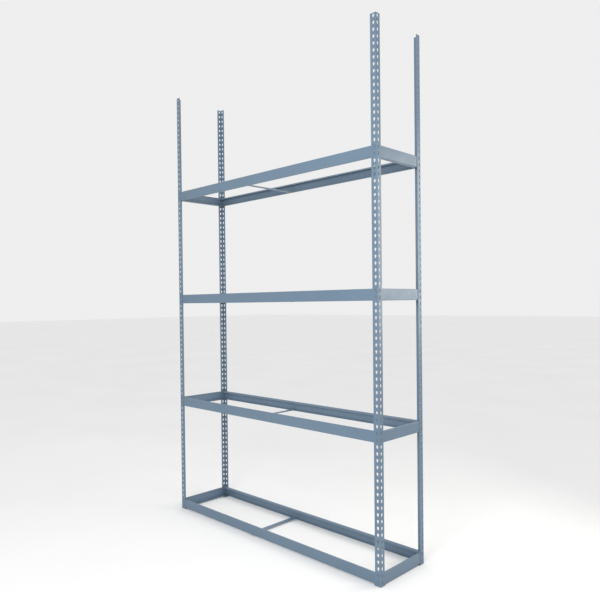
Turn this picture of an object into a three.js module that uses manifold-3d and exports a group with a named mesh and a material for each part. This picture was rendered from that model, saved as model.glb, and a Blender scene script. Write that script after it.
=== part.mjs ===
// Tyre storage rack: boltless steel shelving with four levels for standing tyres.
// Slotted angle posts, double-rivet beams, centre tie straps and foot plates.
// Millimetres, +Z up, front at -Y, origin on the floor at the middle of the rack.

import * as THREE from 'three';
import { mergeVertices } from 'three/addons/utils/BufferGeometryUtils.js';
import Module from 'manifold-3d';

const wasm = await Module();
wasm.setup();

// ---- Driving dimensions ----

const RACK_WIDTH = 1828.8; // over the posts, 72 in
const RACK_DEPTH = 457.2; // over the posts, 18 in
const FIT_GAP = 0.3; // clearance between pieces that touch
const ROUND_SIDES = 8; // sides of every small round

// Posts: rolled steel angle with a keyhole slot every inch and a half in both flanges
const POST_FLANGE = 38.1;
const POST_GAUGE = 2.0;
const SLOT_PITCH = 38.1;
const SLOT_COUNT = 84;
const POST_LENGTH = SLOT_PITCH * SLOT_COUNT;
const SLOT_FROM_CORNER = 16.5; // slot centre line to the outer corner of the post
const FIRST_SLOT = 22.0; // lowest slot centre above the foot of the post
const SLOT_HEIGHT = 19.0;
const SLOT_TOP_WIDTH = 13.0; // lets a rivet head through
const SLOT_BOTTOM_WIDTH = 8.6; // grips the rivet shank

// Foot plates, flush with the outer corner of each post
const FOOT_SIZE = 48.0;
const FOOT_THICKNESS = 2.0;
const FOOT_HOLE_RADIUS = 5.0;
const FOOT_HOLE_INSET = 30.0;

// Rivets that stay in the beam ends
const RIVET_SHANK_RADIUS = 4.0;
const RIVET_HEAD_RADIUS = 5.5;
const RIVET_HEAD_HEIGHT = 2.8;

// Beams: folded sheet, hung inside the posts
const BEAM_GAUGE = 1.9;
const BEAM_HEIGHT = 66.0;
const LOWER_RIVET = 11.6; // lower rivet above the bottom edge; the upper one a pitch higher
const BEAM_END_SETBACK = 4.6; // outer face of the post to the end of a beam
const TOP_FLANGE = 9.0; // flat strip along the top of every beam
const REST_LIP = 12.0; // sloping lip that the tyres rest on, across and down
const BOTTOM_RETURN = 16.0;
const END_BEAM_FLANGE = 30.0;
const END_BEAM_COPE = 20.0; // flanges cut back at both ends of an end beam

// Levels: each hangs the same number of slots above the one below
const LEVELS = 4;
const SLOTS_PER_LEVEL = 21;

// Centre tie between the front and rear beam, just left of the middle
const TIE_X = -135.0;
const TIE_WIDTH = 32.0;
const TIE_TAB_WIDTH = 50.0;
const TIE_TAB_LENGTH = 24.0;
const TIE_THICKNESS = 3.0;

// M6 fastener at each end of a tie: screw from below, nut on top
const SCREW_RADIUS = 3.0;
const SCREW_HOLE_RADIUS = 3.5;
const SCREW_HEAD_RADIUS = 6.0;
const SCREW_HEAD_HEIGHT = 2.4;
const SCREW_PAST_NUT = 1.5;
const NUT_ACROSS_CORNERS = 11.5;
const NUT_HEIGHT = 5.0;

// ---- Heights and places that follow ----

const POST_BASE = FOOT_THICKNESS + FIT_GAP;
const SHANK_DROP = SLOT_HEIGHT / 2 - RIVET_SHANK_RADIUS - FIT_GAP; // slot centre to shank
const FIRST_BEAM_BASE = POST_BASE + FIRST_SLOT - SHANK_DROP - LOWER_RIVET;
const LEVEL_SPACING = SLOT_PITCH * SLOTS_PER_LEVEL;
const BEAM_INSET = POST_GAUGE + FIT_GAP; // outer face of the post to the beam's web
const SCREW_INSET = (BEAM_GAUGE + BOTTOM_RETURN) / 2; // beam's outer face to the screw
const SCREW_Y = RACK_DEPTH / 2 - BEAM_INSET - SCREW_INSET;

const HALF_TURN = Math.PI;
const QUARTER_TURN = Math.PI / 2;

// ---- Colours ----

const powderCoat = { color: 0x65798b, roughness: 0.42, metalness: 0 };
const zincPlate = { color: 0xcbccce, roughness: 0.35, metalness: 0.9 };

// ---- Solids ----

// A closed three.js geometry as a solid that can be joined and cut.
function toSolid(geometry) {
  const bare = geometry.clone();
  bare.deleteAttribute('normal');
  bare.deleteAttribute('uv');
  const merged = mergeVertices(bare, 1e-4);
  const vertProperties = new Float32Array(merged.attributes.position.array);
  const triVerts = new Uint32Array(merged.index.array);
  return new wasm.Manifold(new wasm.Mesh({ numProp: 3, vertProperties, triVerts }));
}

function toGeometry(solid) {
  const { vertProperties, triVerts } = solid.getMesh();
  const geometry = new THREE.BufferGeometry();
  geometry.setAttribute('position', new THREE.BufferAttribute(vertProperties, 3));
  geometry.setIndex(new THREE.BufferAttribute(triVerts, 1));
  geometry.computeVertexNormals();
  return geometry;
}

function prism(shape, depth) {
  return new THREE.ExtrudeGeometry(shape, { depth, bevelEnabled: false });
}

function polygon(points) {
  return new THREE.Shape(points.map(([x, y]) => new THREE.Vector2(x, y)));
}

function rectangle(x0, y0, x1, y1) {
  return polygon([[x0, y0], [x1, y0], [x1, y1], [x0, y1]]);
}

function ring(x, y, radius, sides = ROUND_SIDES) {
  const points = [];
  for (let i = 0; i < sides; i += 1) {
    const angle = (2 * Math.PI * i) / sides;
    points.push([x + radius * Math.cos(angle), y + radius * Math.sin(angle)]);
  }
  return polygon(points);
}

// A round piece from its half profile, drawn as (radius, height) from the axis to the axis.
function turned(profile) {
  return new THREE.LatheGeometry(profile.map(([x, y]) => new THREE.Vector2(x, y)), ROUND_SIDES);
}

// Outline of folded sheet metal: an open path that turns clockwise, thickened to its right.
function sheetOutline(path, gauge) {
  const points = path.map(([x, y]) => new THREE.Vector2(x, y));
  const normalOf = (from, to) => {
    const along = to.clone().sub(from).normalize();
    return new THREE.Vector2(along.y, -along.x);
  };
  const inside = points.map((point, i) => {
    const before = i > 0 ? normalOf(points[i - 1], point) : normalOf(point, points[i + 1]);
    const after = i < points.length - 1 ? normalOf(point, points[i + 1]) : before;
    const mitre = before.clone().add(after);
    return mitre.multiplyScalar(gauge / mitre.dot(before)).add(point);
  });
  return new THREE.Shape([...points, ...inside.reverse()]);
}

// ---- Posts ----

function keyholeSlot(x, y) {
  const low = y - SLOT_HEIGHT / 2;
  const high = y + SLOT_HEIGHT / 2;
  return polygon([
    [x - SLOT_BOTTOM_WIDTH / 2, low],
    [x + SLOT_BOTTOM_WIDTH / 2, low],
    [x + SLOT_TOP_WIDTH / 2, high],
    [x - SLOT_TOP_WIDTH / 2, high],
  ]);
}

// One flange as a slotted plate, standing up along Z with its outer face at y = 0.
function slottedPlate(fromCorner) {
  const outline = rectangle(fromCorner, 0, POST_FLANGE, POST_LENGTH);
  for (let slot = 0; slot < SLOT_COUNT; slot += 1) {
    outline.holes.push(keyholeSlot(SLOT_FROM_CORNER, FIRST_SLOT + slot * SLOT_PITCH));
  }
  return prism(outline, POST_GAUGE).rotateX(QUARTER_TURN).translate(0, POST_GAUGE, 0);
}

// An angle post with its outer corner at the origin and flanges along +X and +Y.
function postGeometry() {
  const alongX = toSolid(slottedPlate(0));
  const alongY = toSolid(slottedPlate(POST_GAUGE).rotateZ(QUARTER_TURN).translate(POST_GAUGE, 0, 0));
  return toGeometry(alongX.add(alongY));
}

function footGeometry() {
  const outline = rectangle(0, 0, FOOT_SIZE, FOOT_SIZE);
  outline.holes.push(ring(FOOT_HOLE_INSET, FOOT_HOLE_INSET, FOOT_HOLE_RADIUS));
  return prism(outline, FOOT_THICKNESS);
}

// ---- Beams: length along X about the middle, outer face at y = 0 looking to -Y ----

// A section drawn as (inwards, up), run out along X.
function foldedBeam(path, length) {
  const section = prism(sheetOutline(path, BEAM_GAUGE), length);
  const solid = toSolid(section.rotateX(QUARTER_TURN).rotateZ(QUARTER_TURN));
  return solid.translate([-length / 2, 0, 0]);
}

// A rivet through the web: its shank crosses the post's slot, its head stays outside.
function rivet(x, z) {
  const headFace = BEAM_INSET + FIT_GAP;
  const profile = [
    [0, -BEAM_GAUGE / 2],
    [RIVET_SHANK_RADIUS, -BEAM_GAUGE / 2],
    [RIVET_SHANK_RADIUS, headFace],
    [RIVET_HEAD_RADIUS, headFace],
    [RIVET_HEAD_RADIUS, headFace + RIVET_HEAD_HEIGHT],
    [0, headFace + RIVET_HEAD_HEIGHT],
  ];
  return toSolid(turned(profile).rotateX(HALF_TURN).translate(x, 0, z));
}

function withRivets(beam, span) {
  const reach = span / 2 - SLOT_FROM_CORNER;
  let riveted = beam;
  for (const x of [-reach, reach]) {
    for (const z of [LOWER_RIVET, LOWER_RIVET + SLOT_PITCH]) {
      riveted = riveted.add(rivet(x, z));
    }
  }
  return riveted;
}

// Front or rear beam: a lip slopes in and down for the tyres, and a return stiffens the foot.
function longBeamGeometry(screwX) {
  const length = RACK_WIDTH - 2 * BEAM_END_SETBACK;
  const section = [
    [BOTTOM_RETURN, 0],
    [0, 0],
    [0, BEAM_HEIGHT],
    [TOP_FLANGE, BEAM_HEIGHT],
    [TOP_FLANGE + REST_LIP, BEAM_HEIGHT - REST_LIP],
  ];
  const hole = prism(ring(screwX, SCREW_INSET, SCREW_HOLE_RADIUS), 3 * BEAM_GAUGE);
  const drilled = foldedBeam(section, length).subtract(toSolid(hole.translate(0, 0, -BEAM_GAUGE)));
  return toGeometry(withRivets(drilled, RACK_WIDTH));
}

// End beam: an uneven channel, with its flanges cut back clear of the long beams.
function endBeamGeometry() {
  const length = RACK_DEPTH - 2 * BEAM_END_SETBACK;
  const section = [
    [END_BEAM_FLANGE, 0],
    [0, 0],
    [0, BEAM_HEIGHT],
    [TOP_FLANGE, BEAM_HEIGHT],
  ];
  let beam = foldedBeam(section, length);
  for (const x of [-length / 2, length / 2]) {
    const size = [2 * END_BEAM_COPE, 2 * END_BEAM_FLANGE, 2 * BEAM_HEIGHT];
    const cope = new THREE.BoxGeometry(...size);
    cope.translate(x, BEAM_GAUGE + END_BEAM_FLANGE, BEAM_HEIGHT / 2);
    beam = beam.subtract(toSolid(cope));
  }
  return toGeometry(withRivets(beam, RACK_DEPTH));
}

// ---- Centre tie and its fasteners ----

// A flat strap along Y with a wider tab and a screw hole at each end.
function tieGeometry() {
  const end = RACK_DEPTH / 2 - BEAM_INSET - BEAM_GAUGE - FIT_GAP;
  const neck = end - TIE_TAB_LENGTH;
  const narrow = TIE_WIDTH / 2;
  const wide = TIE_TAB_WIDTH / 2;
  const rightSide = [[wide, -end], [wide, -neck], [narrow, -neck + wide - narrow]];
  rightSide.push([narrow, neck - wide + narrow], [wide, neck], [wide, end]);
  const leftSide = rightSide.map(([x, y]) => [-x, -y]);
  const outline = polygon([...rightSide, ...leftSide]);
  outline.holes.push(ring(0, -SCREW_Y, SCREW_HOLE_RADIUS), ring(0, SCREW_Y, SCREW_HOLE_RADIUS));
  return prism(outline, TIE_THICKNESS);
}

// Screw standing up, with the foot of its shank at the origin and its head below.
function screwGeometry() {
  const grip = BEAM_GAUGE + TIE_THICKNESS + 3 * FIT_GAP;
  const top = grip + NUT_HEIGHT + SCREW_PAST_NUT;
  const profile = [
    [0, -SCREW_HEAD_HEIGHT],
    [SCREW_HEAD_RADIUS, -SCREW_HEAD_HEIGHT],
    [SCREW_HEAD_RADIUS, 0],
    [SCREW_RADIUS, 0],
    [SCREW_RADIUS, top],
    [0, top],
  ];
  return turned(profile).rotateX(QUARTER_TURN);
}

function nutGeometry() {
  const hexagon = ring(0, 0, NUT_ACROSS_CORNERS / 2, 6);
  hexagon.holes.push(ring(0, 0, SCREW_HOLE_RADIUS));
  return prism(hexagon, NUT_HEIGHT);
}

// ---- Assembly ----

const rack = new THREE.Group();

function place(name, geometry, finish, position, turn = 0) {
  const mesh = new THREE.Mesh(geometry, new THREE.MeshStandardMaterial(finish));
  mesh.name = name;
  mesh.position.set(...position);
  mesh.rotation.z = turn;
  rack.add(mesh);
}

const halfWidth = RACK_WIDTH / 2;
const halfDepth = RACK_DEPTH / 2;
const corners = [
  { name: 'front_left', x: -halfWidth, y: -halfDepth, turn: 0 },
  { name: 'front_right', x: halfWidth, y: -halfDepth, turn: QUARTER_TURN },
  { name: 'rear_right', x: halfWidth, y: halfDepth, turn: HALF_TURN },
  { name: 'rear_left', x: -halfWidth, y: halfDepth, turn: -QUARTER_TURN },
];
const post = postGeometry();
const foot = footGeometry();
for (const { name, x, y, turn } of corners) {
  place(`post_${name}`, post, powderCoat, [x, y, POST_BASE], turn);
  place(`foot_plate_${name}`, foot, powderCoat, [x, y, 0], turn);
}

const frontBeam = longBeamGeometry(TIE_X);
const rearBeam = longBeamGeometry(-TIE_X);
const endBeam = endBeamGeometry();
const tie = tieGeometry();
const screw = screwGeometry();
const nut = nutGeometry();
const beamX = halfWidth - BEAM_INSET;
const beamY = halfDepth - BEAM_INSET;

for (let level = 1; level <= LEVELS; level += 1) {
  const base = FIRST_BEAM_BASE + (level - 1) * LEVEL_SPACING;
  const tieBase = base + BEAM_GAUGE + FIT_GAP;
  const nutBase = tieBase + TIE_THICKNESS + FIT_GAP;
  place(`front_beam_level_${level}`, frontBeam, powderCoat, [0, -beamY, base]);
  place(`rear_beam_level_${level}`, rearBeam, powderCoat, [0, beamY, base], HALF_TURN);
  place(`left_end_beam_level_${level}`, endBeam, powderCoat, [-beamX, 0, base], -QUARTER_TURN);
  place(`right_end_beam_level_${level}`, endBeam, powderCoat, [beamX, 0, base], QUARTER_TURN);
  place(`tie_level_${level}`, tie, powderCoat, [TIE_X, 0, tieBase]);
  for (const [side, y] of [['front', -SCREW_Y], ['rear', SCREW_Y]]) {
    place(`tie_screw_${side}_level_${level}`, screw, zincPlate, [TIE_X, y, base - FIT_GAP]);
    place(`tie_nut_${side}_level_${level}`, nut, zincPlate, [TIE_X, y, nutBase]);
  }
}

export default rack;
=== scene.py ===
"""Looks of the tyre storage rack: every steel piece rebuilt finely on its CAD node."""

import math

import bmesh
import bpy
from mathutils import Matrix, Vector
from mathutils.geometry import tessellate_polygon


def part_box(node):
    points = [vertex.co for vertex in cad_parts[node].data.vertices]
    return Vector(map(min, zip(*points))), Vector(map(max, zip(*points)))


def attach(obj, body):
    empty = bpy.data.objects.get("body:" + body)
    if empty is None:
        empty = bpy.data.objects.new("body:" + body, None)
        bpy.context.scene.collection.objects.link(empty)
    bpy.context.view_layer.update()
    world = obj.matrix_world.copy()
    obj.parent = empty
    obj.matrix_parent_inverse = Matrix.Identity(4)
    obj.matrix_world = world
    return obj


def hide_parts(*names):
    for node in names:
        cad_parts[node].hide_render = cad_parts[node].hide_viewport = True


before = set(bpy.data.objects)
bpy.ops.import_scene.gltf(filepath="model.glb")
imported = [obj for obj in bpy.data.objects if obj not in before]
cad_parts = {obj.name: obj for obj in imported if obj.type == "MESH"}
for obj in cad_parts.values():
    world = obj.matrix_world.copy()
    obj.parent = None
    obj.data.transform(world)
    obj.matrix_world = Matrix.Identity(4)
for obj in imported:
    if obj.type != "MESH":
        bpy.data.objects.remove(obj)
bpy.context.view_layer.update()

MM = 0.001

# ---- Sizes that the fine pieces share with the frame ----

FIT_GAP = 0.3 * MM
LEVELS = (1, 2, 3, 4)

POST_GAUGE = 2.0 * MM
POST_BEND = 3.2 * MM  # outer radius of the corner
SLOT_PITCH = 38.1 * MM
SLOT_COUNT = 84
SLOT_FROM_CORNER = 16.5 * MM
FIRST_SLOT = 22.0 * MM
SLOT_TOP_RADIUS = 6.5 * MM
SLOT_FOOT_RADIUS = 4.3 * MM
SLOT_HEIGHT = 19.0 * MM

BEAM_GAUGE = 1.9 * MM
BEAM_BEND = 3.0 * MM
BEAM_HEIGHT = 66.0 * MM
BEAM_INSET = POST_GAUGE + FIT_GAP
BEAM_END_SETBACK = 4.6 * MM
TOP_FLANGE = 9.0 * MM
REST_LIP = 12.0 * MM
BOTTOM_RETURN = 16.0 * MM
END_BEAM_FLANGE = 30.0 * MM
END_BEAM_COPE = 20.0 * MM

RIVET_SHANK = 4.0 * MM
RIVET_HEAD = 5.5 * MM
RIVET_DOME = 2.8 * MM
RIVET_HEAD_EDGE = 0.6 * MM  # straight edge under the dome
RIVET_TAIL = 0.2 * MM  # clear of the beam that ends beside it
LOWER_RIVET = 11.6 * MM

TIE_WIDTH = 32.0 * MM
TIE_TAB_LENGTH = 24.0 * MM
TIE_CORNER = 5.0 * MM
SCREW_INSET = (BEAM_GAUGE + BOTTOM_RETURN) / 2
SCREW_HOLE = 3.4 * MM
SCREW_RADIUS = 3.0 * MM
THREAD_PITCH = 1.0 * MM
THREAD_DEPTH = 0.35 * MM
SCREW_HEAD = 2.4 * MM
SCREW_CHAMFER = 0.5 * MM
SOCKET_FLATS = 4.0 * MM
SOCKET_DEPTH = 1.5 * MM
NUT_BORE = 3.05 * MM
NUT_MOUTH = 0.5 * MM  # chamfer of the bore
NUT_FACE = 0.48  # radius of its round flat face, as a share of the width across flats

FOOT_CORNER = 4.0 * MM
FOOT_HOLE = 5.0 * MM
FOOT_HOLE_INSET = 30.0 * MM
WELD_RADIUS = 2.2 * MM
WELD_LENGTH = 24.0 * MM
WELD_RIPPLE = 0.08  # share of the radius

EDGE_BAND = 1.5 * MM  # strip along an edge where the coating thins
EDGE_ROUND = 0.35 * MM
ROUND_ABOVE = math.radians(40)  # an edge that turns more than this gets a small round
SHARP_ABOVE = math.radians(32)  # and on a piece without rounds, more than this is sharp
RUBBED_TOP = 2.0 * MM  # top of the long beams, where the tyres rub
LOOP = 28  # points round a punched hole, a quarter of them (an odd number) for each side
QUARTER = LOOP // 4

X, Y, Z = Vector((1, 0, 0)), Vector((0, 1, 0)), Vector((0, 0, 1))


# ---- Mesh building ----


class Solid:
    """Vertices with a rim value (1 on an edge of the metal, 0 away from it) and faces."""

    def __init__(self):
        self.points = []
        self.rim = []
        self.faces = []

    def point(self, place, rim=0.0):
        self.points.append(Vector(place))
        self.rim.append(rim)
        return len(self.points) - 1

    def face(self, *corners):
        self.faces.append(tuple(corners))

    def ring(self, places, rim=0.0):
        return [self.point(place, rim) for place in places]

    def bridge(self, first, second):
        """Quads between two closed rings of the same length."""
        count = len(first)
        for i in range(count):
            after = (i + 1) % count
            self.face(first[i], first[after], second[after], second[i])

    def cap(self, ring, height):
        """Closes a ring with a fan round a point on the Z axis."""
        tip = self.point((0, 0, height))
        for corner, after in zip(ring, ring[1:] + ring[:1]):
            self.face(tip, corner, after)

    def place(self, matrix):
        self.points = [matrix @ point for point in self.points]
        return self

    def add(self, other):
        start = len(self.points)
        self.points += other.points
        self.rim += other.rim
        self.faces += [tuple(start + corner for corner in face) for face in other.faces]
        return self


def make_piece(name, solid, material, body, replaced=(), edge=EDGE_ROUND):
    """One shown piece from a solid, with its small edge rounds, on its CAD body."""
    mesh = bpy.data.meshes.new(name)
    mesh.from_pydata(solid.points, [], solid.faces)
    mesh.attributes.new("rim", "FLOAT", "POINT").data.foreach_set("value", solid.rim)
    turn_outwards(mesh)
    mesh.materials.append(material)
    piece = bpy.data.objects.new(name, mesh)
    bpy.context.scene.collection.objects.link(piece)
    for polygon in mesh.polygons:
        polygon.use_smooth = True
    if edge:
        bevel = piece.modifiers.new("edge_round", "BEVEL")
        bevel.width = edge
        bevel.segments = 2
        bevel.limit_method = "ANGLE"
        bevel.angle_limit = ROUND_ABOVE
        bevel.miter_outer = "MITER_ARC"
    else:
        mesh.set_sharp_from_angle(angle=SHARP_ABOVE)
    piece.modifiers.new("flat_faces_first", "WEIGHTED_NORMAL").keep_sharp = True
    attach(piece, body)
    if replaced:
        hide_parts(*replaced)
    return piece


def turn_outwards(mesh):
    """Makes every closed part of the mesh face outwards."""
    work = bmesh.new()
    work.from_mesh(mesh)
    bmesh.ops.recalc_face_normals(work, faces=work.faces)
    work.to_mesh(mesh)
    work.free()


def fold(path, bend, steps=5):
    """Stations (point, inward normal, flat) along the outside of a folded sheet.

    The path turns clockwise. flat is the path segment that starts at the station, or None
    round a bend or in the narrow band along a free edge.
    """
    corners = [Vector(corner) for corner in path]
    along = [(b - a).normalized() for a, b in zip(corners, corners[1:])]
    inward = [Vector((step.y, -step.x)) for step in along]
    stations = [(corners[0], inward[0], None)]
    start = corners[0] + along[0] * EDGE_BAND
    for i in range(1, len(along)):
        stations.append((start, inward[i - 1], i - 1))
        turn = along[i - 1].angle(along[i])
        lead = bend * math.tan(turn / 2)
        centre = corners[i] - along[i - 1] * lead + inward[i - 1] * bend
        for step in range(steps):
            normal = inward[i - 1].copy()
            normal.rotate(Matrix.Rotation(-turn * step / steps, 2))
            stations.append((centre - normal * bend, normal, None))
        start = centre - inward[i] * bend
    stations.append((start, inward[-1], len(along) - 1))
    stations.append((corners[-1] - along[-1] * EDGE_BAND, inward[-1], None))
    stations.append((corners[-1], inward[-1], None))
    return stations


def folded_sheet(path, gauge, bend, rows, axes, holes=(), cut=None, worn_above=math.inf):
    """A folded sheet run along its length.

    axes are (origin, across, up, along) for the section's two directions and the length.
    Each hole is (path segment, distance along it, place along the length, loop), with the
    loop a function of how far the outline grows. cut(segment, row) leaves a cell out. Above
    worn_above, in the section, the coating is rubbed.
    """
    origin, across, up, along = axes
    stations = fold(path, bend)
    corners = [Vector(corner) for corner in path]
    solid = Solid()

    def place(flat_place, normal, depth, length):
        spot = flat_place + normal * depth
        return origin + across * spot.x + up * spot.y + along * length

    last_station, last_row = len(stations) - 1, len(rows) - 1
    grid = {}
    for depth in (0, gauge):
        for k, (spot, normal, _) in enumerate(stations):
            for j, length in enumerate(rows):
                rim = 0.6 if spot.y > worn_above else 0.0
                if k in (0, last_station) or j in (0, last_row):
                    rim = 1.0
                grid[k, j, depth] = solid.point(place(spot, normal, depth, length), rim)

    def present(k, j):
        inside = 0 <= k < last_station and 0 <= j < last_row
        return inside and not (cut and cut(stations[k][2], j))

    punched = {}
    for segment, distance, length, loop in holes:
        k = next(i for i, station in enumerate(stations) if station[2] == segment)
        j = max(i for i, row in enumerate(rows) if row < length)
        punched[k, j] = (segment, distance, length, loop)

    for k in range(last_station):
        for j in range(last_row):
            if not present(k, j):
                continue
            for depth in (0, gauge):
                corner = [grid[k, j, depth], grid[k + 1, j, depth]]
                corner += [grid[k + 1, j + 1, depth], grid[k, j + 1, depth]]
                if (k, j) not in punched:
                    solid.face(*corner)
            sides = {(-1, 0): (0, 0, 0, 1), (1, 0): (1, 0, 1, 1)}
            sides |= {(0, -1): (0, 0, 1, 0), (0, 1): (0, 1, 1, 1)}
            for (dk, dj), (ka, ja, kb, jb) in sides.items():
                if not present(k + dk, j + dj):
                    a, b = (k + ka, j + ja), (k + kb, j + jb)
                    solid.face(grid[(*a, 0)], grid[(*b, 0)], grid[(*b, gauge)], grid[(*a, gauge)])

    for (k, j), (segment, distance, length, loop) in punched.items():
        step = (corners[segment + 1] - corners[segment]).normalized()
        normal = stations[k][1]
        rims = []
        for depth in (0, gauge):
            rings = []
            for grow, rim in ((EDGE_BAND, 0.0), (0.0, 1.0)):
                spots = [
                    place(corners[segment] + step * (distance + a), normal, depth, length + b)
                    for a, b in loop(grow)
                ]
                rings.append(solid.ring(spots, rim))
            solid.bridge(*rings)
            rims.append(rings[1])
            corner = [grid[k, j, depth], grid[k + 1, j, depth]]
            corner += [grid[k + 1, j + 1, depth], grid[k, j + 1, depth]]
            for side in range(4):
                arc = [rings[0][(side * QUARTER + i) % LOOP] for i in range(QUARTER + 1)]
                solid.face(corner[side], corner[(side + 1) % 4], *reversed(arc))
        solid.bridge(*rims)
    return solid


def keyhole(grow):
    """Keyhole slot: a large round on top, a small one at the foot, and tangents between."""
    top, foot = SLOT_TOP_RADIUS + grow, SLOT_FOOT_RADIUS + grow
    top_centre = SLOT_HEIGHT / 2 - SLOT_TOP_RADIUS
    foot_centre = SLOT_FOOT_RADIUS - SLOT_HEIGHT / 2
    lean = math.asin((top - foot) / (top_centre - foot_centre))

    def arc(radius, centre, first, last, count):
        angles = [first + (last - first) * i / (count - 1) for i in range(count)]
        return [(radius * math.cos(a), centre + radius * math.sin(a)) for a in angles]

    below = arc(foot, foot_centre, math.pi + lean, 2 * math.pi - lean, QUARTER + 1)
    above = arc(top, top_centre, -lean, math.pi + lean, 2 * QUARTER)
    steps = (QUARTER + 1) // 2
    foot_tangent, top_tangent = Vector(below[-1]), Vector(above[0])
    side = [tuple(foot_tangent.lerp(top_tangent, i / steps)) for i in range(1, steps)]
    other = [(-a, b) for a, b in reversed(side)]
    return below + side + above + other


def round_hole(radius):
    """A loop function for a round hole."""

    def loop(grow):
        start = math.radians(225)
        angles = [start + 2 * math.pi * i / LOOP for i in range(LOOP)]
        return [((radius + grow) * math.cos(a), (radius + grow) * math.sin(a)) for a in angles]

    return loop


def inset(outline, distance):
    """An anticlockwise outline moved inwards."""
    points = [Vector(point) for point in outline]
    moved = []
    for i, point in enumerate(points):
        along = (points[(i + 1) % len(points)] - points[i - 1]).normalized()
        moved.append(tuple(point + Vector((-along.y, along.x)) * distance))
    return moved


def plate(outline, holes, thickness):
    """A flat plate on z = 0 with round holes, each (x, y, radius)."""
    edges = [outline]
    fields = [inset(outline, EDGE_BAND)]
    for x, y, radius in holes:
        edges.append([(x + a, y + b) for a, b in round_hole(radius)(0.0)])
        fields.append([(x + a, y + b) for a, b in round_hole(radius)(EDGE_BAND)])
    solid = Solid()
    rims = []
    for height in (0, thickness):
        outer = [solid.ring([(a, b, height) for a, b in loop], 1.0) for loop in edges]
        inner = [solid.ring([(a, b, height) for a, b in loop]) for loop in fields]
        for pair in zip(outer, inner):
            solid.bridge(*pair)
        flat = [corner for ring in inner for corner in ring]
        for triangle in tessellate_polygon([[Vector((a, b, 0)) for a, b in f] for f in fields]):
            solid.face(*(flat[i] for i in triangle))
        rims.append(outer)
    for low, high in zip(*rims):
        solid.bridge(low, high)
    return solid


def rounded(corners, radius, steps=5):
    """A closed outline with its convex and hollow corners rounded."""
    points = []
    count = len(corners)
    for i in range(count):
        before, corner, after = (Vector(corners[(i + d) % count]) for d in (-1, 0, 1))
        first = (before - corner).normalized()
        second = (after - corner).normalized()
        half = first.angle(second) / 2
        lead = radius / math.tan(half)
        centre = corner + (first + second).normalized() * (radius / math.sin(half))
        start = corner + first * lead - centre
        end = corner + second * lead - centre
        swing = start.angle_signed(end)
        for step in range(steps + 1):
            spoke = start.copy()
            spoke.rotate(Matrix.Rotation(-swing * step / steps, 2))
            points.append(tuple(centre + spoke))
    return points


def lathe(profile, segments=28):
    """A turned solid about Z from (radius, height) points that start and end on the axis."""
    solid = Solid()
    rings = []
    for radius, height in profile[1:-1]:
        angles = [2 * math.pi * i / segments for i in range(segments)]
        places = [(radius * math.cos(a), radius * math.sin(a), height) for a in angles]
        rings.append(solid.ring(places))
    for first, second in zip(rings, rings[1:]):
        solid.bridge(first, second)
    solid.cap(rings[0], profile[0][1])
    solid.cap(rings[-1], profile[-1][1])
    return solid


def hexagon(angle, flats):
    """Distance from the middle of a hexagon to its side, at an angle."""
    return flats / 2 / math.cos((angle % (math.pi / 3)) - math.pi / 6)


# ---- Materials ----


class Shader:
    """A material's nodes, wired by short calls."""

    def __init__(self, name):
        self.material = bpy.data.materials.new(name)
        self.material.use_nodes = True
        self.nodes = self.material.node_tree.nodes
        self.links = self.material.node_tree.links
        self.surface = self.nodes["Principled BSDF"]
        self.place = self.nodes.new("ShaderNodeTexCoord").outputs["Object"]

    def noise(self, scale, detail=3.0):
        node = self.nodes.new("ShaderNodeTexNoise")
        node.inputs["Scale"].default_value = scale
        node.inputs["Detail"].default_value = detail
        self.links.new(self.place, node.inputs["Vector"])
        return node.outputs["Fac"]

    def spread(self, value, low, high, to_low=0.0, to_high=1.0):
        node = self.nodes.new("ShaderNodeMapRange")
        node.inputs["From Min"].default_value = low
        node.inputs["From Max"].default_value = high
        node.inputs["To Min"].default_value = to_low
        node.inputs["To Max"].default_value = to_high
        self.links.new(value, node.inputs["Value"])
        return node.outputs["Result"]

    def maths(self, operation, first, second):
        node = self.nodes.new("ShaderNodeMath")
        node.operation = operation
        for socket, value in zip(node.inputs, (first, second)):
            if isinstance(value, float):
                socket.default_value = value
            else:
                self.links.new(value, socket)
        return node.outputs["Value"]

    def mix(self, share, first, second):
        node = self.nodes.new("ShaderNodeMix")
        node.data_type = "RGBA"
        self.links.new(share, node.inputs["Factor"])
        for socket, colour in (("A", first), ("B", second)):
            target = next(s for s in node.inputs if s.name == socket and s.type == "RGBA")
            if isinstance(colour, tuple):
                target.default_value = (*colour, 1)
            else:
                self.links.new(colour, target)
        return next(s for s in node.outputs if s.type == "RGBA")

    def bump(self, height, strength, distance, under=None):
        node = self.nodes.new("ShaderNodeBump")
        node.inputs["Strength"].default_value = strength
        node.inputs["Distance"].default_value = distance
        self.links.new(height, node.inputs["Height"])
        if under:
            self.links.new(under, node.inputs["Normal"])
        return node.outputs["Normal"]

    def rim(self):
        node = self.nodes.new("ShaderNodeAttribute")
        node.attribute_name = "rim"
        return node.outputs["Fac"]

    def set(self, **values):
        for name, value in values.items():
            socket = self.surface.inputs[name.replace("_", " ").title()]
            if isinstance(value, (float, tuple)):
                socket.default_value = value
            else:
                self.links.new(value, socket)


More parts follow.
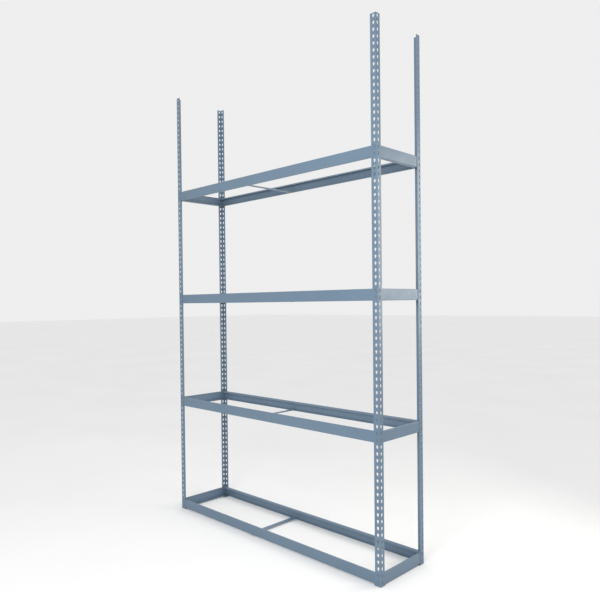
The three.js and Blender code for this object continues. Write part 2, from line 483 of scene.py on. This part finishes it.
def powder_coat():
    """Blue-grey powder coat: orange peel, faint clouds, small scuffs, and bright worn edges."""
    shader = Shader("powder_coat")
    deep, pale, speck = (0.121, 0.185, 0.258), (0.134, 0.199, 0.273), (0.096, 0.152, 0.219)
    scuffed, rubbed = (0.23, 0.30, 0.37), (0.33, 0.39, 0.45)
    clouds = shader.spread(shader.noise(2.6, 4.0), 0.35, 0.65)
    colour = shader.mix(clouds, deep, pale)
    grain = shader.spread(shader.noise(700.0, 1.0), 0.35, 0.65)
    colour = shader.mix(shader.maths("MULTIPLY", grain, 0.22), colour, speck)
    scuffs = shader.spread(shader.noise(60.0, 6.0), 0.64, 0.74)
    colour = shader.mix(shader.maths("MULTIPLY", scuffs, 0.20), colour, scuffed)
    patches = shader.spread(shader.noise(140.0, 4.0), 0.45, 0.62)
    worn = shader.maths("MULTIPLY", shader.rim(), patches)
    colour = shader.mix(shader.maths("MULTIPLY", worn, 0.45), colour, rubbed)
    shine = shader.spread(shader.noise(14.0, 4.0), 0.3, 0.7, 0.34, 0.44)
    shine = shader.maths("ADD", shine, shader.maths("MULTIPLY", scuffs, 0.15))
    peel = shader.bump(shader.noise(420.0, 2.0), 0.35, 0.10 * MM)
    waves = shader.bump(shader.noise(9.0, 1.0), 0.10, 0.8 * MM, peel)
    shader.set(base_color=colour, roughness=shine, normal=waves)
    return shader.material


def zinc_plate():
    """Bright zinc plate on the fasteners, slightly clouded."""
    shader = Shader("zinc_plate")
    clouds = shader.spread(shader.noise(220.0, 4.0), 0.35, 0.65)
    colour = shader.mix(clouds, (0.55, 0.56, 0.57), (0.68, 0.68, 0.66))
    shine = shader.spread(shader.noise(400.0, 3.0), 0.3, 0.7, 0.24, 0.42)
    grain = shader.bump(shader.noise(1500.0, 2.0), 0.2, 0.03 * MM)
    shader.set(base_color=colour, roughness=shine, normal=grain, metallic=1.0)
    return shader.material


def studio_floor():
    """Pale matt floor."""
    shader = Shader("studio_floor")
    clouds = shader.spread(shader.noise(0.7, 3.0), 0.3, 0.7)
    colour = shader.mix(clouds, (0.90, 0.90, 0.90), (0.93, 0.93, 0.93))
    shine = shader.spread(shader.noise(3.0, 3.0), 0.3, 0.7, 0.75, 0.9)
    shader.set(base_color=colour, roughness=shine)
    return shader.material


coat = powder_coat()
zinc = zinc_plate()


# ---- Posts and feet ----


def corner_of(node, side, end):
    """Outer corner of a post or foot plate, and its directions along X and Y."""
    low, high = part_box(node)
    x = low.x if side == "left" else high.x
    y = low.y if end == "front" else high.y
    along_x = X if side == "left" else -X
    along_y = Y if end == "front" else -Y
    return Vector((x, y, low.z)), along_x, along_y


def build_post(name, side, end):
    corner, along_x, along_y = corner_of(name, side, end)
    low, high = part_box(name)
    flange, height = high.x - low.x, high.z - low.z
    centres = [FIRST_SLOT + i * SLOT_PITCH for i in range(SLOT_COUNT)]
    rows = [0.0, EDGE_BAND] + [centre - SLOT_PITCH / 2 for centre in centres]
    rows += [height - EDGE_BAND, height]
    holes = [(0, flange - SLOT_FROM_CORNER, centre, keyhole) for centre in centres]
    holes += [(1, SLOT_FROM_CORNER, centre, keyhole) for centre in centres]
    path = [(flange, 0), (0, 0), (0, flange)]
    axes = (corner, along_x, along_y, Z)
    solid = folded_sheet(path, POST_GAUGE, POST_BEND, rows, axes, holes)
    make_piece(f"{name}_steel", solid, coat, "uprights", [name])


def build_foot(name, side, end):
    corner, along_x, along_y = corner_of(name, side, end)
    low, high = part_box(name)
    size = high.x - low.x
    outline = rounded([(0, 0), (size, 0), (size, size), (0, size)], FOOT_CORNER)
    hole = (FOOT_HOLE_INSET, FOOT_HOLE_INSET, FOOT_HOLE)
    solid = plate(outline, [hole], high.z - low.z)
    turn = Matrix((along_x, along_y, Z)).transposed().to_4x4()
    solid.place(Matrix.Translation(corner) @ turn)
    make_piece(f"{name}_steel", solid, coat, "uprights", [name])
    build_welds(name, corner + Z * (high.z - low.z), along_x, along_y)


def build_welds(name, corner, along_x, along_y):
    """Rippled weld beads in the angle between the foot plate and both flanges."""
    solid = Solid()
    steps, sides = 30, 8
    for along, inward in ((along_x, along_y), (along_y, along_x)):
        start = corner + inward * POST_GAUGE + along * (POST_GAUGE + WELD_RADIUS)
        rings = []
        for step in range(steps + 1):
            share = step / steps
            end_taper = math.sqrt(max(0.04, 1 - (2 * share - 1) ** 8))
            ripple = 1 + WELD_RIPPLE * math.sin(share * 60)
            radius = WELD_RADIUS * end_taper * ripple
            spots = []
            for i in range(sides + 1):
                angle = math.pi / 2 * i / sides
                swell = radius * (0.72 + 0.10 * math.sin(2 * angle))
                reach = inward * (swell * math.cos(angle)) + Z * (swell * math.sin(angle))
                spots.append(start + along * (WELD_LENGTH * share) + reach)
            spots.append(start + along * (WELD_LENGTH * share))
            rings.append(solid.ring(spots))
        for first, second in zip(rings, rings[1:]):
            solid.bridge(first, second)
        for ring in (rings[0], rings[-1]):
            solid.face(*ring)
    make_piece(f"weld_on_{name}", solid, coat, "uprights", edge=0)


for end in ("front", "rear"):
    for side in ("left", "right"):
        build_post(f"post_{end}_{side}", side, end)
        build_foot(f"foot_plate_{end}_{side}", side, end)


# ---- Beams ----

POST_LOW, POST_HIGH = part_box("post_front_left")[0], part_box("post_rear_right")[1]
HALF_WIDTH = (POST_HIGH.x - POST_LOW.x) / 2
HALF_DEPTH = (POST_HIGH.y - POST_LOW.y) / 2


def rivet():
    """A rivet along Z: domed head outside the post, tail set nearly flush inside the web."""
    head = BEAM_INSET + FIT_GAP
    tail = -BEAM_GAUGE - RIVET_TAIL
    dome = [(RIVET_HEAD * math.cos(a), math.sin(a)) for a in (0, 0.3, 0.6, 0.9, 1.2)]
    profile = [(0, tail), (RIVET_SHANK, tail), (RIVET_SHANK * 1.08, -BEAM_GAUGE)]
    profile += [(RIVET_SHANK, -BEAM_GAUGE), (RIVET_SHANK, head)]
    profile += [(RIVET_HEAD * 0.97, head)]
    rise = RIVET_DOME - RIVET_HEAD_EDGE
    profile += [(radius, head + RIVET_HEAD_EDGE + rise * lift) for radius, lift in dome]
    profile += [(0, head + RIVET_DOME)]
    return lathe(profile)


def build_rivets(beam, body, half_span, axes):
    """The two rivets in each end of a beam, as one piece of four solids."""
    origin, across, up, along = axes
    solid = Solid()
    turn = Matrix((along, up, -across)).transposed().to_4x4()
    for sign in (-1, 1):
        for height in (LOWER_RIVET, LOWER_RIVET + SLOT_PITCH):
            reach = sign * (half_span - SLOT_FROM_CORNER)
            spot = origin + along * reach + up * height
            solid.add(rivet().place(Matrix.Translation(spot) @ turn))
    make_piece(f"rivets_of_{beam}", solid, coat, body, edge=0)


def build_long_beam(name, body, end, screw_x):
    inward = Y if end == "front" else -Y
    face = POST_LOW.y if end == "front" else POST_HIGH.y
    origin = Vector((0, face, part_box(name)[0].z)) + inward * BEAM_INSET
    axes = (origin, inward, Z, X)
    half = HALF_WIDTH - BEAM_END_SETBACK
    path = [(BOTTOM_RETURN, 0), (0, 0), (0, BEAM_HEIGHT), (TOP_FLANGE, BEAM_HEIGHT)]
    path.append((TOP_FLANGE + REST_LIP, BEAM_HEIGHT - REST_LIP))
    margin = 20 * MM
    rows = [-half, -half + EDGE_BAND, screw_x - margin, screw_x + margin, half - EDGE_BAND, half]
    holes = [(0, BOTTOM_RETURN - SCREW_INSET, screw_x, round_hole(SCREW_HOLE))]
    rub = BEAM_HEIGHT - RUBBED_TOP
    solid = folded_sheet(path, BEAM_GAUGE, BEAM_BEND, rows, axes, holes, worn_above=rub)
    make_piece(f"{name}_steel", solid, coat, body, [name])
    build_rivets(name, body, HALF_WIDTH, axes)


def build_end_beam(name, body, side):
    inward = X if side == "left" else -X
    face = POST_LOW.x if side == "left" else POST_HIGH.x
    origin = Vector((face, 0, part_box(name)[0].z)) + inward * BEAM_INSET
    axes = (origin, inward, Z, Y)
    half = HALF_DEPTH - BEAM_END_SETBACK
    path = [(END_BEAM_FLANGE, 0), (0, 0), (0, BEAM_HEIGHT), (TOP_FLANGE, BEAM_HEIGHT)]
    rows = [-half, END_BEAM_COPE - half, half - END_BEAM_COPE, half]
    web = 1

    def coped(flat, row):
        return row in (0, len(rows) - 2) and flat != web

    solid = folded_sheet(path, BEAM_GAUGE, BEAM_BEND, rows, axes, cut=coped)
    make_piece(f"{name}_steel", solid, coat, body, [name])
    build_rivets(name, body, HALF_DEPTH, axes)


# ---- Ties and fasteners ----


def build_tie(name, body):
    low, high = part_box(name)
    centre = (low + high) / 2
    wide, end = (high.x - low.x) / 2, (high.y - low.y) / 2
    narrow, neck = TIE_WIDTH / 2, end - TIE_TAB_LENGTH
    slope = wide - narrow
    right = [(wide, -end), (wide, -neck), (narrow, slope - neck)]
    right += [(narrow, neck - slope), (wide, neck), (wide, end)]
    outline = rounded(right + [(-x, -y) for x, y in right], TIE_CORNER)
    screw_y = HALF_DEPTH - BEAM_INSET - SCREW_INSET
    holes = [(0, y, SCREW_HOLE) for y in (-screw_y, screw_y)]
    solid = plate(outline, holes, high.z - low.z)
    solid.place(Matrix.Translation((centre.x, centre.y, low.z)))
    make_piece(f"{name}_steel", solid, coat, body, [name])


def build_screw(name, body):
    """Button head with a hexagon socket below, and a helical thread."""
    low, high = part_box(name)
    centre = (low + high) / 2
    head_radius = (high.x - low.x) / 2
    segments, rows_per_turn = 36, 6
    angles = [2 * math.pi * i / segments for i in range(segments)]

    def level(radius_at, height):
        return [(radius_at(a) * math.cos(a), radius_at(a) * math.sin(a), height) for a in angles]

    def socket(a):
        return hexagon(a, SOCKET_FLATS)

    solid = Solid()
    rings = [solid.ring(level(socket, SOCKET_DEPTH)), solid.ring(level(socket, 0.0))]
    first_lean = 0.75
    for lean in (first_lean, 0.9, 1.05, 1.25, math.pi / 2):
        height = SCREW_HEAD * 0.75 * (1 - math.cos(lean) / math.cos(first_lean))
        rings.append(solid.ring(level(lambda a: head_radius * math.sin(lean), height)))
    rings.append(solid.ring(level(lambda a: head_radius, SCREW_HEAD)))
    length = high.z - low.z - SCREW_HEAD
    turns = length / THREAD_PITCH
    rows = int(turns * rows_per_turn)
    for row in range(rows + 1):
        height = length * row / rows
        chamfer = max(0.0, height - length + SCREW_CHAMFER) * 0.8

        def thread(a):
            phase = (height / THREAD_PITCH - a / (2 * math.pi)) % 1.0
            return SCREW_RADIUS - THREAD_DEPTH * abs(2 * phase - 1) - chamfer

        rings.append(solid.ring(level(thread, SCREW_HEAD + height)))
    for first, second in zip(rings, rings[1:]):
        solid.bridge(first, second)
    solid.cap(rings[0], SOCKET_DEPTH)
    solid.cap(rings[-1], SCREW_HEAD + length)
    solid.place(Matrix.Translation((centre.x, centre.y, low.z)))
    make_piece(f"{name}_zinc", solid, zinc, body, [name], edge=0)


def build_nut(name, body):
    """Hexagon nut with chamfered corners, scalloped where the chamfer meets the flats."""
    low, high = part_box(name)
    centre = (low + high) / 2
    flats, height = high.y - low.y, high.z - low.z
    segments = 48
    angles = [2 * math.pi * i / segments for i in range(segments)]
    solid = Solid()

    def level(radius_at, height_at):
        places = []
        for a in angles:
            radius = radius_at(a)
            places.append((radius * math.cos(a), radius * math.sin(a), height_at(radius)))
        return solid.ring(places)

    def side(a):
        return hexagon(a, flats)

    def chamfer(radius):
        return (radius - face) * math.tan(math.radians(30))

    bore, mouth, face = NUT_BORE, NUT_BORE + NUT_MOUTH, flats * NUT_FACE
    rings = [
        level(lambda a: bore, lambda r: NUT_MOUTH),
        level(lambda a: bore, lambda r: height - NUT_MOUTH),
        level(lambda a: mouth, lambda r: height),
        level(lambda a: face, lambda r: height),
        level(side, lambda r: height - chamfer(r)),
        level(side, chamfer),
        level(lambda a: face, lambda r: 0.0),
        level(lambda a: mouth, lambda r: 0.0),
    ]
    for first, second in zip(rings, rings[1:] + rings[:1]):
        solid.bridge(first, second)
    solid.place(Matrix.Translation((centre.x, centre.y, low.z)))
    make_piece(f"{name}_zinc", solid, zinc, body, [name], edge=0.12 * MM)


for number in LEVELS:
    long_body = f"long_beams_{number}"
    tie_low, tie_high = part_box(f"tie_level_{number}")
    tie_x = (tie_low.x + tie_high.x) / 2
    for end in ("front", "rear"):
        build_long_beam(f"{end}_beam_level_{number}", long_body, end, tie_x)
        build_screw(f"tie_screw_{end}_level_{number}", long_body)
        build_nut(f"tie_nut_{end}_level_{number}", long_body)
    for side in ("left", "right"):
        build_end_beam(f"{side}_end_beam_level_{number}", f"{side}_end_{number}", side)
    build_tie(f"tie_level_{number}", long_body)


# ---- Studio ----

FLOOR_SIZE = 120.0
FLOOR_DROP = -0.0001  # just under the foot plates
CAMERA_PLACE = (2.823, -3.047, 1.596)
CAMERA_TURN = (47.91, -0.72, -0.71)  # yaw, pitch and roll in degrees
CAMERA_LENS = 35.7
CAMERA_SHIFT = (0.113, 0.0195)
WARM = (1, 0.97, 0.88)


def build_floor():
    mesh = bpy.data.meshes.new("floor")
    half = FLOOR_SIZE / 2
    corners = [(-half, -half), (half, -half), (half, half), (-half, half)]
    mesh.from_pydata([(x, y, FLOOR_DROP) for x, y in corners], [], [(0, 1, 2, 3)])
    mesh.materials.append(studio_floor())
    floor = bpy.data.objects.new("floor", mesh)
    bpy.context.scene.collection.objects.link(floor)


def area_light(name, place, target, size, power, colour=(1, 1, 1)):
    """A rectangular softbox, in metres and watts, turned to its target and unseen itself."""
    light = bpy.data.lights.new(name, "AREA")
    light.shape = "RECTANGLE"
    light.size, light.size_y = size
    light.energy = power
    light.color = colour
    lamp = bpy.data.objects.new(name, light)
    lamp.location = place
    lamp.rotation_euler = (Vector(target) - Vector(place)).to_track_quat("-Z", "Y").to_euler()
    lamp.visible_camera = False
    bpy.context.scene.collection.objects.link(lamp)


def build_world(brightness):
    world = bpy.data.worlds.new("studio")
    world.use_nodes = True
    background = world.node_tree.nodes["Background"]
    background.inputs["Color"].default_value = (1, 1, 1, 1)
    background.inputs["Strength"].default_value = brightness
    bpy.context.scene.world = world


def build_camera():
    """The photographer's place: at eye height, off the rack's front right corner."""
    lens = bpy.data.cameras.new("camera")
    lens.lens = CAMERA_LENS
    lens.sensor_width = 36.0
    lens.shift_x, lens.shift_y = CAMERA_SHIFT
    lens.dof.use_dof = False
    lens.clip_end = 200.0
    camera = bpy.data.objects.new("camera", lens)
    camera.location = CAMERA_PLACE
    yaw, pitch, roll = (math.radians(angle) for angle in CAMERA_TURN)
    turn = Matrix.Rotation(yaw, 4, "Z") @ Matrix.Rotation(math.pi / 2 + pitch, 4, "X")
    camera.rotation_euler = (turn @ Matrix.Rotation(roll, 4, "Z")).to_euler()
    bpy.context.scene.collection.objects.link(camera)
    bpy.context.scene.camera = camera


build_floor()
build_world(brightness=0.86)
area_light("front_softbox", (1.6, -3.2, 2.6), (0.2, 0, 2.1), size=(1.2, 1.2), power=62)
area_light("end_softbox", (2.0, 1.75, 2.1), (0.9, 0, 2.0), size=(1.2, 1.7), power=24, colour=WARM)
build_camera()
bpy.context.scene.view_settings.view_transform = "Standard"

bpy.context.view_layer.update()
